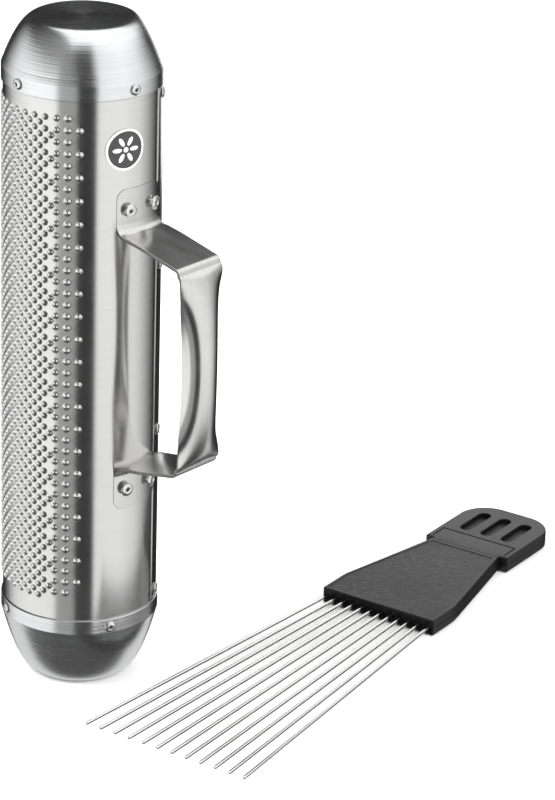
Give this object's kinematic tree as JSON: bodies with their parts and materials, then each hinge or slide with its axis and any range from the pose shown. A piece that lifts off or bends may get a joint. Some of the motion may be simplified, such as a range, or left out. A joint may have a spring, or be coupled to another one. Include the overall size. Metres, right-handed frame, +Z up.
{
  "type": "metal guiro with scraper",
  "caption": "Upright sheet-steel cylinder with spun end caps and a bent strap handle, played with a fan of steel tines in a flat plastic handle.",
  "frame": {"origin": "centre of the flat end of the bottom cap, on the surface that the guiro stands on", "axes": "+Z up along the body's axis, +X out through the handle, the scraper lying on the same surface beside the handle"},
  "size_m": [0.2227, 0.3961, 0.398],
  "materials": {
    "shell_steel": "satin, brushed round the body, punched with rows of raised dimples",
    "cap_aluminium": "spun and turned, fine concentric lines",
    "handle_steel": "satin, brushed along the strap",
    "badge_face": "dark satin face with a bare metal ring",
    "rivet_aluminium": "bright, domed",
    "mandrel_steel": "dull, broken end",
    "scraper_plastic": "fine moulded grain",
    "tine_steel": "bright drawn wire"
  },
  "bodies": {
    "guiro": {"body_shell": "shell_steel", "top_cap": "cap_aluminium", "bottom_cap": "cap_aluminium", "handle_strap": "handle_steel", "badge": "badge_face", "top_cap_rivet_1": "rivet_aluminium", "top_cap_rivet_2": "rivet_aluminium", "top_cap_rivet_3": "rivet_aluminium", "top_cap_rivet_4": "rivet_aluminium", "bottom_cap_rivet_1": "rivet_aluminium", "bottom_cap_rivet_2": "rivet_aluminium", "bottom_cap_rivet_3": "rivet_aluminium", "bottom_cap_rivet_4": "rivet_aluminium", "seam_rivet_1": "rivet_aluminium", "seam_rivet_2": "rivet_aluminium", "seam_rivet_3": "rivet_aluminium", "seam_rivet_4": "rivet_aluminium", "handle_rivet_upper_left": "rivet_aluminium", "handle_rivet_upper_right": "rivet_aluminium", "handle_rivet_lower_left": "rivet_aluminium", "handle_rivet_lower_right": "rivet_aluminium", "top_cap_rivet_1_mandrel": "mandrel_steel", "top_cap_rivet_2_mandrel": "mandrel_steel", "top_cap_rivet_3_mandrel": "mandrel_steel", "top_cap_rivet_4_mandrel": "mandrel_steel", "bottom_cap_rivet_1_mandrel": "mandrel_steel", "bottom_cap_rivet_2_mandrel": "mandrel_steel", "bottom_cap_rivet_3_mandrel": "mandrel_steel", "bottom_cap_rivet_4_mandrel": "mandrel_steel", "seam_rivet_1_mandrel": "mandrel_steel", "seam_rivet_2_mandrel": "mandrel_steel", "seam_rivet_3_mandrel": "mandrel_steel", "seam_rivet_4_mandrel": "mandrel_steel", "handle_rivet_upper_left_mandrel": "mandrel_steel", "handle_rivet_upper_right_mandrel": "mandrel_steel", "handle_rivet_lower_left_mandrel": "mandrel_steel", "handle_rivet_lower_right_mandrel": "mandrel_steel"},
    "scraper": {"scraper_handle_upper": "scraper_plastic", "scraper_handle_lower": "scraper_plastic", "tine_01": "tine_steel", "tine_02": "tine_steel", "tine_03": "tine_steel", "tine_04": "tine_steel", "tine_05": "tine_steel", "tine_06": "tine_steel", "tine_07": "tine_steel", "tine_08": "tine_steel", "tine_09": "tine_steel", "tine_10": "tine_steel", "tine_11": "tine_steel", "tine_12": "tine_steel"}
  },
  "joints": [
    {"name": "scraper_draw_away", "type": "slide", "parent": "guiro", "child": "scraper", "axis": [1, 0, 0], "range_m": [0, 0.15]}
  ]
}
